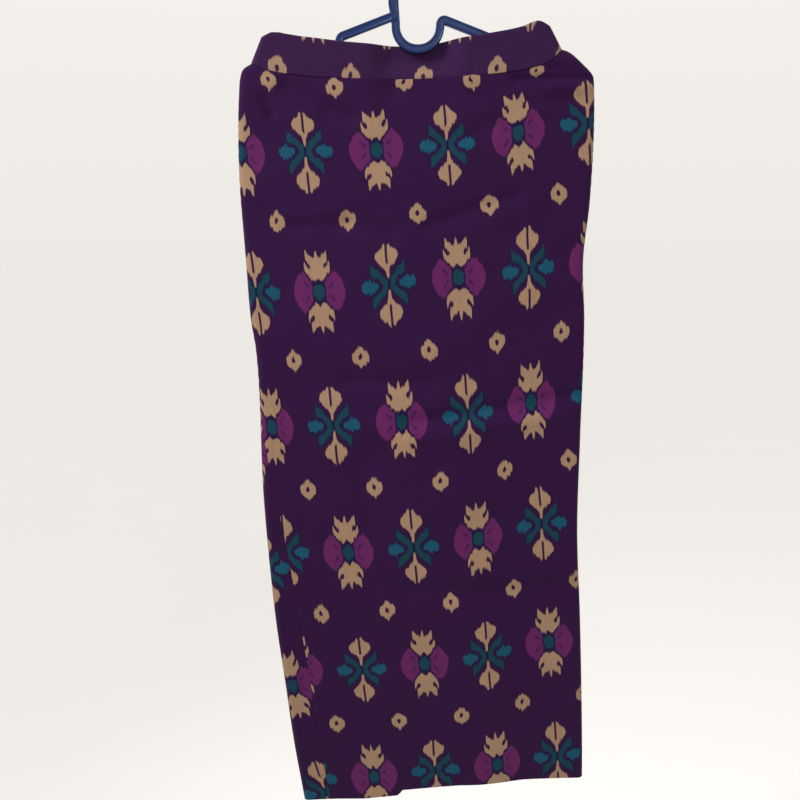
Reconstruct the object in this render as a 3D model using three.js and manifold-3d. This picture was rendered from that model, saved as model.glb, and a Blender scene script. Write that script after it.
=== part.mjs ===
// A long pencil skirt of printed cotton with an elastic waist, hanging from a moulded plastic hanger.
// Millimetres, +Z up. The front faces -Y. The origin is the inside top of the hook, where a rail bears.

import * as THREE from "three";
import Module from "manifold-3d";
import { mergeVertices } from "three/addons/utils/BufferGeometryUtils.js";

// ---- Driving dimensions ----

const PANEL_WALL = 1.2; // cotton panel with its seam allowances
const BAND_WALL = 2.5; // cotton folded double round the elastic
const SEAM_GAP = 0.3; // between two pieces that are sewn together
const GRAIN_SLOPE = 0.0963; // the skirt hangs askew, so its rows rise to the right by 5.5 degrees
const SEAM_LEVEL = -151.5; // height of the waist seam at mid width
const HEM_LEVEL = -1086; // height of the hem at mid width
const SHOULDER_DROP = 60; // below this much panel the waist seam's curve has faded out
const HEM_FADE = 26; // above this much panel the hem's unevenness has faded out
const GATHERS = 24; // puckers that the elastic draws up across the back
const GATHER_DEPTH = 1.5; // half the height of one pucker
const GATHER_RUN = 75; // length over which the puckers fade out down the back panel
const FOLD_REACH = 9; // distance from a side fold over which the mesh is finer

// The mesh: levels just under the waist seam, then rows down to the hem, and columns across a piece.
const SHOULDER_LEVELS = [0, 4, 9, 17, 30, 48];
const PANEL_ROWS = 22;
const HEM_ROW = 12;
const FRONT_COLUMNS = 36;
const BACK_COLUMNS = 30;
const BAND_COLUMNS = 44;
const GATHER_COLUMNS = 4 * GATHERS;

// The waistband, level by level across its width: 0 at the left fold, 1 at the right fold.
const BAND_CURVE = [
  { across: 0.0, seamZ: -133.5, topZ: -104.5 },
  { across: 0.04, seamZ: -140, topZ: -101 },
  { across: 0.15, seamZ: -147.2, topZ: -104.6 },
  { across: 0.3, seamZ: -150.6, topZ: -110.3 },
  { across: 0.45, seamZ: -151.5, topZ: -113.3 },
  { across: 0.55, seamZ: -151, topZ: -112.8 },
  { across: 0.67, seamZ: -148.6, topZ: -106.7 },
  { across: 0.8, seamZ: -145, topZ: -100 },
  { across: 0.9, seamZ: -139, topZ: -93.6 },
  { across: 0.96, seamZ: -131.3, topZ: -86.8 },
  { across: 1.0, seamZ: -118, topZ: -92 },
];
const BAND_ENDS = { seamLeft: -196, seamRight: 171, topLeft: -183, topRight: 156 };
const BAND_DEPTH = { fold: 7.5, front: 8, back: 10 };

// Where the flattened tube folds at its sides.
const LEFT_EDGE = [
  { z: -134, x: -196 },
  { z: -139, x: -204.5 },
  { z: -146, x: -208.5 },
  { z: -165, x: -211.3 },
  { z: -255, x: -214.8 },
  { z: -363, x: -210.2 },
  { z: -437, x: -206.5 },
  { z: -475, x: -201.5 },
  { z: -673, x: -197.7 },
  { z: -842, x: -186.8 },
  { z: -930, x: -177 },
  { z: -1021, x: -167 },
  { z: -1112, x: -154 },
];
const RIGHT_EDGE = [
  { z: -118, x: 171 },
  { z: -119.2, x: 175.5 },
  { z: -121.5, x: 180.5 },
  { z: -126, x: 187 },
  { z: -135, x: 197 },
  { z: -143.8, x: 206.4 },
  { z: -148.5, x: 209.2 },
  { z: -160, x: 210.8 },
  { z: -290, x: 211.7 },
  { z: -363, x: 206.4 },
  { z: -437, x: 211 },
  { z: -592, x: 212 },
  { z: -714, x: 213.4 },
  { z: -842, x: 222.4 },
  { z: -1021, x: 232.6 },
  { z: -1080, x: 235 },
];

// Half depths of the tube and how far the side seams have turned round its folds, towards the front
// on the left and towards the back on the right.
const LEVELS = [
  { z: -151, fold: 7, front: 8, back: 10, turn: 0 },
  { z: -230, fold: 7, front: 10, back: 12, turn: 0 },
  { z: -430, fold: 8, front: 14, back: 15, turn: -3 },
  { z: -507, fold: 8, front: 15, back: 15, turn: 1 },
  { z: -666, fold: 8, front: 16, back: 15, turn: 20 },
  { z: -760, fold: 8, front: 16, back: 15, turn: 31 },
  { z: -936, fold: 8, front: 15, back: 14, turn: 39 },
  { z: -1112, fold: 7.5, front: 13, back: 13, turn: 41 },
];

// The hem's own line, as drops below the straight grain. On the front, left of the middle, its
// turn-up has slipped down and ends in a step.
const FRONT_HEM = [
  { x: -153, drop: 5.6 },
  { x: -108, drop: 6.6 },
  { x: -69, drop: 8.8 },
  { x: -21, drop: 6.6 },
  { x: -18, drop: -1.1 },
  { x: 63, drop: -1.7 },
  { x: 91, drop: 0 },
  { x: 150, drop: -0.2 },
  { x: 235, drop: 7.4 },
];
const BACK_HEM = [
  { x: -153, drop: 5.6 },
  { x: -60, drop: 2 },
  { x: 80, drop: 0 },
  { x: 194, drop: 2.5 },
  { x: 235, drop: 7.4 },
];

// Folds in the hanging cloth: a soft trough along a line, negative depth for a ridge.
const FRONT_FOLDS = [
  { x1: -186, z1: -172, x2: -160, z2: -208, width: 11, depth: 2.6 },
  { x1: -157, z1: -162, x2: -80, z2: -196, width: 10, depth: 2.4 },
  { x1: -172, z1: -158, x2: -120, z2: -184, width: 8, depth: -1.6 },
  { x1: 105, z1: -156, x2: 165, z2: -155, width: 8, depth: 2.0 },
  { x1: 118, z1: -170, x2: 190, z2: -166, width: 10, depth: -1.5 },
  { x1: -150, z1: -320, x2: -84, z2: -319, width: 13, depth: 2.0 },
  { x1: 20, z1: -320, x2: 118, z2: -287, width: 14, depth: 2.4 },
  { x1: -86, z1: -514, x2: 13, z2: -514, width: 15, depth: 2.2 },
  { x1: -11, z1: -567, x2: 200, z2: -534, width: 13, depth: 3.2 },
  { x1: -5, z1: -590, x2: 195, z2: -556, width: 15, depth: -2.2 },
  { x1: -12, z1: -796, x2: 212, z2: -792, width: 18, depth: 2.6 },
  { x1: 60, z1: -640, x2: 110, z2: -1060, width: 40, depth: -2.6 },
  { x1: -60, z1: -600, x2: -70, z2: -1060, width: 30, depth: 2.2 },
];
const BACK_FOLDS = [
  { x1: 185, z1: -172, x2: 130, z2: -215, width: 12, depth: 2.6 },
  { x1: -190, z1: -170, x2: -120, z2: -200, width: 11, depth: 2.4 },
  { x1: -90, z1: -300, x2: 60, z2: -335, width: 15, depth: 2.4 },
  { x1: -180, z1: -500, x2: 40, z2: -530, width: 15, depth: 3.0 },
  { x1: -150, z1: -790, x2: 30, z2: -802, width: 18, depth: 2.4 },
  { x1: -40, z1: -420, x2: -10, z2: -1050, width: 42, depth: -3.0 },
  { x1: 110, z1: -380, x2: 140, z2: -1050, width: 32, depth: 2.6 },
];

// The front waistband slips behind the hanger's strap loop in the middle, and eases the back out.
const LOOP_DENT = { depth: 12.5, halfWidth: 26, fall: 34, fullAbove: -126, seamShare: 0.34, endZ: -236 };
const LOOP_BULGE = { height: 2.4, halfWidth: 26, fall: 60 };

// The hanger, one moulding in the plane y = 0.
const HANGER_HALF_DEPTH = 4;
const HANGER_CHAMFER = 0.36; // share of the half width and half depth that is cut off each corner
const HOOK = { radius: 27.5, width: 12, tipDrop: 14 };
const ARM_ROOT_Z = -82;
const STRAP_LOOP = { radius: 24.8, width: 10, centreZ: -92.6, cornerX: 28, cornerZ: -84 };
const LEFT_ARM = { rootX: -27, rootZ: -81, notchX: -91, notchZ: -104.5, tipX: -199.4, tipZ: -145.2 };
const RIGHT_ARM = { rootX: 28, rootZ: -82.5, notchX: 92, notchZ: -107.6, tipX: 198.2, tipZ: -145.2 };
const ARM = { width: 9.6, notchSpan: 17, notchDepth: 13, notchRadius: 6 };

// ---- Small curves ----

const lerp = (a, b, t) => a + (b - a) * t;
const clamp01 = (t) => Math.min(1, Math.max(0, t));
const ease = (t) => clamp01(t) ** 2 * (3 - 2 * clamp01(t));

// Smooth value of one column of a table at a place along its key column.
function along(table, key, column, place) {
  const rising = table[1][key] > table[0][key] ? 1 : -1;
  const last = table.length - 1;
  const at = Math.min(Math.max(place * rising, table[0][key] * rising), table[last][key] * rising);
  let i = 0;
  while (i < last - 1 && table[i + 1][key] * rising < at) i++;
  const slope = (a, b) => (table[b][column] - table[a][column]) / (table[b][key] - table[a][key]);
  const through = (k) => (k === 0 || k === last ? null : (slope(k - 1, k) + slope(k, k + 1)) / 2);
  const span = table[i + 1][key] - table[i][key];
  const t = (at * rising - table[i][key]) / span;
  const chord = slope(i, i + 1);
  const start = (through(i) ?? chord) * span;
  const end = (through(i + 1) ?? chord) * span;
  const h = [2 * t ** 3 - 3 * t ** 2 + 1, t ** 3 - 2 * t ** 2 + t, 3 * t ** 2 - 2 * t ** 3, t ** 3 - t ** 2];
  return h[0] * table[i][column] + h[1] * start + h[2] * table[i + 1][column] + h[3] * end;
}

// Straight-line value of one column, for the hem's sudden step.
function straight(table, key, column, place) {
  let i = 0;
  while (i < table.length - 2 && table[i + 1][key] < place) i++;
  const t = clamp01((place - table[i][key]) / (table[i + 1][key] - table[i][key]));
  return lerp(table[i][column], table[i + 1][column], t);
}

function troughs(folds, x, z) {
  let sum = 0;
  for (const fold of folds) {
    const run = new THREE.Vector2(fold.x2 - fold.x1, fold.z2 - fold.z1);
    const from = new THREE.Vector2(x - fold.x1, z - fold.z1);
    const t = clamp01(from.dot(run) / run.lengthSq());
    const away = from.addScaledVector(run, -t).length() / fold.width;
    sum += fold.depth * Math.exp(-away * away);
  }
  return sum;
}

// ---- The flattened tube ----

// One level's outline seen from above: two bulged faces joined by round folds. s runs along it in mm
// from the left fold, over the front to the right fold, and back over the rear.
function tubeOutline({ left, right, fold, front, back }) {
  const middle = (left + right) / 2;
  const flat = (right - left) / 2 - fold;
  const face = (sign, depth) => {
    const half = [];
    for (let k = 0; k < 8; k++) {
      const turn = (k / 8) * (Math.PI / 2);
      half.push([-flat - fold * Math.cos(turn), sign * fold * Math.sin(turn)]);
    }
    for (let k = 0; k <= 40; k++) {
      const u = -1 + k / 20;
      half.push([u * flat, sign * (fold + (depth - fold) * (1 - u * u) ** 2)]);
    }
    for (let k = 7; k >= 0; k--) half.push([-half[k][0], half[k][1]]);
    return half;
  };
  const frontHalf = face(-1, front);
  const points = [...frontHalf, ...face(1, back).reverse().slice(1)];
  const stations = [0];
  for (let k = 1; k < points.length; k++) {
    const step = Math.hypot(points[k][0] - points[k - 1][0], points[k][1] - points[k - 1][1]);
    stations.push(stations[k - 1] + step);
  }
  const total = stations.at(-1);
  const frontRun = stations[frontHalf.length - 1];
  const outward = points.map((_, k) => {
    const [ax, ay] = points[k === 0 ? points.length - 2 : k - 1];
    const [bx, by] = points[k === points.length - 1 ? 1 : k + 1];
    return new THREE.Vector2(by - ay, ax - bx).normalize();
  });
  const at = (s) => {
    const place = ((s % total) + total) % total;
    let low = 0;
    let high = stations.length - 1;
    while (high - low > 1) {
      const mid = (low + high) >> 1;
      if (stations[mid] <= place) low = mid;
      else high = mid;
    }
    const t = (place - stations[low]) / (stations[high] - stations[low]);
    const [ax, ay] = points[low];
    const [bx, by] = points[high];
    const out = outward[low].clone().lerp(outward[high], t).normalize();
    return {
      x: middle + lerp(ax, bx, t),
      y: lerp(ay, by, t),
      outX: out.x,
      outY: out.y,
      across: clamp01((lerp(ax, bx, t) + flat + fold) / (2 * (flat + fold))),
    };
  };
  return { at, total, frontRun };
}

// Height of the cloth at a share of the width, for the level that crosses mid width at `level`.
function clothHeight(level, across, left, right, hem) {
  const x = lerp(left, right, across);
  const slant = GRAIN_SLOPE * (across - 0.5) * (right - left);
  const fromSeam = clamp01(1 - (SEAM_LEVEL - level) / SHOULDER_DROP) ** 2;
  const toHem = clamp01(1 - (level - HEM_LEVEL) / HEM_FADE) ** 2;
  const seam = along(BAND_CURVE, "across", "seamZ", across) - SEAM_LEVEL - slant;
  return level + slant + seam * fromSeam - straight(hem, "x", "drop", x) * toHem;
}

function sideEdges(level) {
  let left = -200;
  let right = 200;
  for (let pass = 0; pass < 4; pass++) {
    left = along(LEFT_EDGE, "z", "x", clothHeight(level, 0, left, right, BACK_HEM));
    right = along(RIGHT_EDGE, "z", "x", clothHeight(level, 1, left, right, BACK_HEM));
  }
  return { left, right };
}

// The dent that the strap loop presses into the front's middle.
function loopDent(x, z) {
  const sideways = ease((LOOP_DENT.halfWidth + LOOP_DENT.fall - Math.abs(x)) / LOOP_DENT.fall);
  const low = ease((z - LOOP_DENT.endZ) / (SEAM_LEVEL - LOOP_DENT.endZ)) * LOOP_DENT.seamShare;
  const high = ease((z - SEAM_LEVEL) / (LOOP_DENT.fullAbove - SEAM_LEVEL)) * (1 - LOOP_DENT.seamShare);
  return LOOP_DENT.depth * sideways * (low + high);
}

function loopBulge(x, z) {
  const sideways = ease((LOOP_BULGE.halfWidth + LOOP_BULGE.fall - Math.abs(x)) / LOOP_BULGE.fall);
  return LOOP_BULGE.height * sideways * ease((z - LOOP_DENT.endZ) / (SEAM_LEVEL - LOOP_DENT.endZ));
}

// Puckers across the back, all puffed outwards and uneven in height, for a share of the back's width.
function gather(share) {
  const turn = share * GATHERS;
  return GATHER_DEPTH * (1 + Math.cos(2 * Math.PI * turn)) * (1 + 0.25 * Math.sin(2.4 * Math.round(turn)));
}

// ---- Cloth walls ----

// Shares of a run from `from` to `to`, closer together near the folds at s = 0, frontRun and total.
function closerAtFolds(from, to, count, foldStations) {
  const fine = 400;
  const weights = [0];
  for (let k = 1; k <= fine; k++) {
    const s = lerp(from, to, (k - 0.5) / fine);
    let weight = 1;
    for (const fold of foldStations) weight += 3.2 * Math.exp(-(((s - fold) / FOLD_REACH) ** 2));
    weights.push(weights[k - 1] + weight);
  }
  const shares = [];
  let k = 0;
  for (let column = 0; column <= count; column++) {
    const target = (weights[fine] * column) / count;
    while (k < fine - 1 && weights[k + 1] < target) k++;
    shares.push(clamp01((k + (target - weights[k]) / (weights[k + 1] - weights[k])) / fine));
  }
  return shares;
}

// A closed wall from rows of outer and inner points. Two rows may differ in their number of points:
// the strip between them then follows the points' shares of the width.
function wallGeometry(rows) {
  const places = [];
  const index = [];
  const put = (p) => places.push(p.x, p.y, p.z) / 3 - 1;
  const skins = ["outer", "inner"].map((skin) => rows.map((row) => row.map((p) => put(p[skin]))));
  const strip = (a, b, shareA, shareB, flip) => {
    const face = (p, q, r) => (flip ? index.push(p, r, q) : index.push(p, q, r));
    let i = 0;
    let j = 0;
    while (i < a.length - 1 || j < b.length - 1) {
      const nextA = i < a.length - 1 ? (shareA[i] + shareA[i + 1]) / 2 : 2;
      const nextB = j < b.length - 1 ? (shareB[j] + shareB[j + 1]) / 2 : 2;
      if (nextA <= nextB) face(a[i], b[j], a[++i]);
      else face(a[i], b[j], b[++j]);
    }
  };
  const shares = rows.map((row) => row.map((p) => p.share));
  for (let r = 0; r + 1 < rows.length; r++) {
    strip(skins[0][r], skins[0][r + 1], shares[r], shares[r + 1], false);
    strip(skins[1][r], skins[1][r + 1], shares[r], shares[r + 1], true);
    const first = [skins[0][r], skins[1][r], skins[0][r + 1], skins[1][r + 1]].map((row) => row[0]);
    index.push(first[0], first[1], first[3], first[0], first[3], first[2]);
    const end = [skins[0][r], skins[1][r], skins[0][r + 1], skins[1][r + 1]].map((row) => row.at(-1));
    index.push(end[0], end[3], end[1], end[0], end[2], end[3]);
  }
  const last = rows.length - 1;
  strip(skins[0][0], skins[1][0], shares[0], shares[0], true);
  strip(skins[0][last], skins[1][last], shares[last], shares[last], false);
  const geometry = new THREE.BufferGeometry();
  geometry.setAttribute("position", new THREE.Float32BufferAttribute(places, 3));
  geometry.setIndex(index);
  return geometry;
}

function clothPoint(place, lift, wall, height) {
  const outer = new THREE.Vector3(place.x + place.outX * lift, place.y + place.outY * lift, height);
  const inner = outer.clone().sub(new THREE.Vector3(place.outX * wall, place.outY * wall, 0));
  return { outer, inner };
}

// Levels from just under the waist seam to the hem, alike for both panels so that their seams match.
function panelLevels() {
  const levels = SHOULDER_LEVELS.map((drop) => SEAM_LEVEL - SEAM_GAP - drop);
  const start = levels.at(-1);
  const bottom = HEM_LEVEL + HEM_ROW;
  for (let k = 1; k <= PANEL_ROWS; k++) levels.push(lerp(start, bottom, k / PANEL_ROWS));
  levels.push(HEM_LEVEL);
  return levels;
}

function panelRow(level, side, columns, even) {
  const { left, right } = sideEdges(level);
  const [fold, front, back, turn] = ["fold", "front", "back", "turn"].map((column) =>
    along(LEVELS, "z", column, level),
  );
  const outline = tubeOutline({ left, right, fold, front, back });
  const seams = { left: turn, right: outline.frontRun + turn };
  const from = side === "front" ? seams.left : seams.right;
  const to = side === "front" ? seams.right : seams.left + outline.total;
  const folds = [0, outline.frontRun, outline.total];
  const start = from + SEAM_GAP / 2;
  const end = to - SEAM_GAP / 2;
  const shares = even
    ? Array.from({ length: columns + 1 }, (_, k) => k / columns)
    : closerAtFolds(start, end, columns, folds);
  return shares.map((share) => {
    const place = outline.at(lerp(start, end, share));
    const isFront = place.outY < 0;
    const height = clothHeight(level, place.across, left, right, isFront ? FRONT_HEM : BACK_HEM);
    const facing = clamp01(Math.abs(place.outY) * 1.5 - 0.5);
    let lift = -troughs(isFront ? FRONT_FOLDS : BACK_FOLDS, place.x, height) * facing;
    lift += isFront ? -loopDent(place.x, height) : loopBulge(place.x, height);
    if (side === "back") {
      const fade = ease(1 - (SEAM_LEVEL - level) / GATHER_RUN);
      lift += gather(share) * fade * facing;
    }
    return { share, ...clothPoint(place, lift, PANEL_WALL, height) };
  });
}

function frontPanel() {
  return wallGeometry(panelLevels().map((level) => panelRow(level, "front", FRONT_COLUMNS, false)));
}

function backPanel() {
  const rows = panelLevels().map((level) => {
    const gathered = level > SEAM_LEVEL - SHOULDER_DROP;
    return panelRow(level, "back", gathered ? GATHER_COLUMNS : BACK_COLUMNS, gathered);
  });
  return wallGeometry(rows);
}

// The band's level at a share of its height, 0 at the waist seam and 1 at its top.
function bandRow(up, side, columns) {
  const left = lerp(BAND_ENDS.seamLeft, BAND_ENDS.topLeft, up);
  const right = lerp(BAND_ENDS.seamRight, BAND_ENDS.topRight, up);
  const outline = tubeOutline({ left, right, ...BAND_DEPTH });
  const from = (side === "front" ? 0 : outline.frontRun) + SEAM_GAP / 2;
  const to = (side === "front" ? outline.frontRun : outline.total) - SEAM_GAP / 2;
  const folds = [0, outline.frontRun, outline.total];
  const shares =
    side === "back"
      ? Array.from({ length: columns + 1 }, (_, k) => k / columns)
      : closerAtFolds(from, to, columns, folds);
  return shares.map((share) => {
    const place = outline.at(lerp(from, to, share));
    const seamZ = along(BAND_CURVE, "across", "seamZ", place.across);
    const topZ = along(BAND_CURVE, "across", "topZ", place.across);
    const height = lerp(seamZ, topZ, up);
    const facing = clamp01(Math.abs(place.outY) * 1.5 - 0.5);
    const lift =
      side === "front"
        ? -loopDent(place.x, height)
        : loopBulge(place.x, height) + gather(share) * facing;
    return { share, ...clothPoint(place, lift, BAND_WALL, height) };
  });
}

function waistband(side) {
  const heights = [1, 0.66, 0.33, 0];
  const columns = side === "front" ? BAND_COLUMNS : GATHER_COLUMNS;
  return wallGeometry(heights.map((up) => bandRow(up, side, columns)));
}

// ---- The hanger ----

// Rounds the corners of a line of {x, z, radius, width} points in the hanger's plane.
function roundedLine(corners, stepAngle) {
  const line = [];
  corners.forEach((corner, k) => {
    const here = new THREE.Vector2(corner.x, corner.z);
    if (!corner.radius) {
      line.push({ x: here.x, z: here.y, width: corner.width });
      return;
    }
    const before = new THREE.Vector2(corners[k - 1].x, corners[k - 1].z).sub(here).normalize();
    const after = new THREE.Vector2(corners[k + 1].x, corners[k + 1].z).sub(here).normalize();
    const opening = Math.acos(before.dot(after));
    const reach = corner.radius / Math.tan(opening / 2);
    const toCentre = before.clone().add(after).normalize();
    const centre = toCentre.multiplyScalar(corner.radius / Math.sin(opening / 2)).add(here);
    const start = before.multiplyScalar(reach).add(here).sub(centre);
    const turn = Math.PI - opening;
    const steps = Math.max(2, Math.round(turn / stepAngle));
    const finish = after.multiplyScalar(reach).add(here).sub(centre);
    const sense = Math.sign(start.cross(finish));
    for (let step = 0; step <= steps; step++) {
      const p = start.clone().rotateAround(new THREE.Vector2(), (sense * turn * step) / steps).add(centre);
      line.push({ x: p.x, z: p.y, width: corner.width });
    }
  });
  return line;
}

// Stations that round off the end of a bar, beyond its last point.
function nose(before, end) {
  const towards = new THREE.Vector2(end.x - before.x, end.z - before.z).normalize();
  return [0.3, 0.6, 0.88].map((share) => {
    const angle = (share * Math.PI) / 2;
    const beyond = (end.width / 2) * Math.sin(angle);
    return {
      x: end.x + towards.x * beyond,
      z: end.z + towards.y * beyond,
      width: end.width * Math.cos(angle),
      depth: HANGER_HALF_DEPTH * lerp(1, Math.cos(angle), 0.6),
    };
  });
}

// A bar with chamfered edges along a line, with both its ends rounded.
function bar(line) {
  const stations = [...nose(line[1], line[0]).reverse(), ...line, ...nose(line.at(-2), line.at(-1))];
  const places = [];
  const index = [];
  const cut = 1 - HANGER_CHAMFER;
  const section = [[1, cut], [cut, 1], [-cut, 1], [-1, cut], [-1, -cut], [-cut, -1], [cut, -1], [1, -cut]];
  stations.forEach((p, k) => {
    const a = stations[Math.max(0, k - 1)];
    const b = stations[Math.min(stations.length - 1, k + 1)];
    const way = new THREE.Vector2(b.x - a.x, b.z - a.z).normalize();
    for (const [aside, deep] of section) {
      const offset = (aside * p.width) / 2;
      places.push(p.x - way.y * offset, deep * (p.depth ?? HANGER_HALF_DEPTH), p.z + way.x * offset);
    }
  });
  const n = section.length;
  for (let k = 0; k + 1 < stations.length; k++) {
    for (let i = 0; i < n; i++) {
      const [a, b, c, d] = [k * n + i, k * n + ((i + 1) % n), (k + 1) * n + i, (k + 1) * n + ((i + 1) % n)];
      index.push(a, d, b, a, c, d);
    }
  }
  const last = (stations.length - 1) * n;
  for (let i = 1; i + 1 < n; i++) {
    index.push(0, i, i + 1);
    index.push(last, last + i + 1, last + i);
  }
  const geometry = new THREE.BufferGeometry();
  geometry.setAttribute("position", new THREE.Float32BufferAttribute(places, 3));
  geometry.setIndex(index);
  return geometry;
}

// The outer stretch of an arm: a strap notch dips below its line, then it runs out to its tip.
function armCorners(arm, side) {
  const { width, notchSpan, notchDepth, notchRadius } = ARM;
  const outX = arm.notchX + side * notchSpan;
  const outZ = arm.notchZ - (notchSpan * (arm.notchZ - arm.tipZ)) / Math.abs(arm.tipX - arm.notchX);
  return [
    { x: arm.notchX, z: arm.notchZ, radius: notchRadius, width },
    { x: arm.notchX, z: outZ - notchDepth, radius: notchSpan / 2 - 0.05, width },
    { x: outX, z: outZ - notchDepth, radius: notchSpan / 2 - 0.05, width },
    { x: outX, z: outZ, radius: notchRadius, width },
    { x: arm.tipX, z: arm.tipZ, width },
  ];
}

async function hanger() {
  const wasm = await Module();
  wasm.setup();
  const solid = (geometry) => {
    const merged = mergeVertices(geometry, 1e-4);
    const vertProperties = new Float32Array(merged.attributes.position.array);
    const triVerts = new Uint32Array(merged.index.array);
    return new wasm.Manifold(new wasm.Mesh({ numProp: 3, vertProperties, triVerts }));
  };
  const { radius, width, tipDrop } = HOOK;
  const topZ = width / 2;
  const loop = STRAP_LOOP;
  const loopBottom = loop.centreZ - loop.radius;
  const hookAndRightArm = [
    { x: radius, z: topZ - radius - tipDrop, width: width * 0.9 },
    { x: radius, z: topZ, radius: radius - 0.05, width },
    { x: -radius, z: topZ, radius: radius - 0.05, width },
    { x: -radius, z: ARM_ROOT_Z + 14, width },
    { x: -loop.radius, z: ARM_ROOT_Z - 8, width: loop.width },
    { x: -loop.radius, z: loopBottom, radius: loop.radius - 0.05, width: loop.width },
    { x: loop.radius, z: loopBottom, radius: loop.radius - 0.05, width: loop.width },
    { x: loop.cornerX, z: loop.cornerZ, radius: 4.5, width: loop.width },
    ...armCorners(RIGHT_ARM, 1),
  ];
  const leftArm = [{ x: LEFT_ARM.rootX, z: LEFT_ARM.rootZ, width: ARM.width }, ...armCorners(LEFT_ARM, -1)];
  const stepAngle = Math.PI / 9;
  const [long, short] = [hookAndRightArm, leftArm].map((corners) => bar(roundedLine(corners, stepAngle)));
  const mesh = solid(long).add(solid(short)).getMesh();
  const geometry = new THREE.BufferGeometry();
  geometry.setAttribute("position", new THREE.Float32BufferAttribute(mesh.vertProperties, mesh.numProp));
  geometry.setIndex(Array.from(mesh.triVerts));
  return geometry;
}

// ---- The assembled skirt ----

const COTTON = { color: 0x3a1a46, roughness: 0.85, metalness: 0 };
const NAVY_PLASTIC = { color: 0x35486f, roughness: 0.35, metalness: 0 };

function piece(name, geometry, finish) {
  const mesh = new THREE.Mesh(geometry, new THREE.MeshStandardMaterial(finish));
  mesh.name = name;
  return mesh;
}

const skirt = new THREE.Group();
skirt.add(piece("front_panel", frontPanel(), COTTON));
skirt.add(piece("back_panel", backPanel(), COTTON));
skirt.add(piece("waistband_front", waistband("front"), COTTON));
skirt.add(piece("waistband_back", waistband("back"), COTTON));
skirt.add(piece("hanger", await hanger(), NAVY_PLASTIC));

export default skirt;
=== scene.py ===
import math
import random

import bpy
import numpy as np
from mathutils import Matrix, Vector


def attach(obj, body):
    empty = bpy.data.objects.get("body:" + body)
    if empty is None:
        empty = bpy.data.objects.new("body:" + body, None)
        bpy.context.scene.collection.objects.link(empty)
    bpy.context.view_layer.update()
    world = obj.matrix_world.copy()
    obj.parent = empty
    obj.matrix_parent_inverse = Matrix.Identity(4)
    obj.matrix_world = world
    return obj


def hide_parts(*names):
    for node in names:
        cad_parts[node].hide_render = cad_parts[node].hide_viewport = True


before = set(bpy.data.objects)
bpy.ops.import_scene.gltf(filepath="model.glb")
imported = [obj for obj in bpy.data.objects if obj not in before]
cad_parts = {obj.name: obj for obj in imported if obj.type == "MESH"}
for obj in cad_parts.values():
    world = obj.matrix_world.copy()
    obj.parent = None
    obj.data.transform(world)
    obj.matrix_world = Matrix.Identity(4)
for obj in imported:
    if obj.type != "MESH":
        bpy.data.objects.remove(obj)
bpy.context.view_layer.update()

# ---- Camera ----
# Stands a little over a metre in front of the skirt, level with its upper third, and looks down
# along it. Metres and degrees, in the skirt's own frame.
CAMERA_PLACE = (-0.0199, -1.0853, -0.3174)
CAMERA_TILT = 78.43
CAMERA_LENS = 39.06


def placed(name, data):
    """A new object in the scene, from its mesh, camera or lamp."""
    made = bpy.data.objects.new(name, data)
    bpy.context.scene.collection.objects.link(made)
    return made


camera_data = bpy.data.cameras.new("camera")
camera_data.lens = CAMERA_LENS
camera_data.sensor_width = 36
camera = placed("camera", camera_data)
camera.location = CAMERA_PLACE
camera.rotation_euler = (math.radians(CAMERA_TILT), 0, 0)
bpy.context.scene.camera = camera
bpy.context.scene.view_settings.view_transform = "Standard"

# ---- Hanger ----
# One injection moulding of navy plastic: a hook, a stem that runs on into a U-shaped strap loop,
# and two arms with strap notches. Its bars have round edges and a shallow sunk face on each side.
HANGER_HALF_DEPTH = 4.0
HOOK_RADIUS = 27.5
HOOK_WIDTH = 12.0
HOOK_TIP_WIDTH = 10.8
HOOK_TIP_DROP = 14.0
STEM_END_Z = -68.0
LOOP_START_Z = -90.0
LOOP_RADIUS = 24.8
LOOP_WIDTH = 10.0
LOOP_CENTRE_Z = -92.6
LOOP_CORNER = (28.0, -84.0)
LOOP_CORNER_RADIUS = 4.5
ARM_WIDTH = 9.6
NOTCH_SPAN = 17.0
NOTCH_DEPTH = 13.0
NOTCH_RADIUS = 6.0
LEFT_ARM = {"root": (-27.0, -81.0), "notch": (-91.0, -104.5), "tip": (-199.4, -145.2)}
RIGHT_ARM = {"notch": (92.0, -107.6), "tip": (198.2, -145.2)}
EDGE_ROUND = (0.34, 0.42)  # share of the half width and half depth that an edge's curve takes
SUNK_FACE = (0.60, 0.54, 0.86)  # where the sunk face's step starts and ends, and its depth left
TIP_DEPTH = 0.4  # share of the half depth that is left at a bar's very tip
BEND_STEP = math.pi / 48  # how far a bend turns from one station to the next
ARC_SLACK = 0.05  # keeps two arcs that meet from sharing a station
MILLIMETRE = 0.001


def colour(red, green, blue):
    """A dye or plastic by its 0-255 shade, as the linear colour that a shader takes."""
    shades = [s / 255 for s in (red, green, blue)]
    return [s / 12.92 if s < 0.04045 else ((s + 0.055) / 1.055) ** 2.4 for s in shades] + [1.0]


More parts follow.
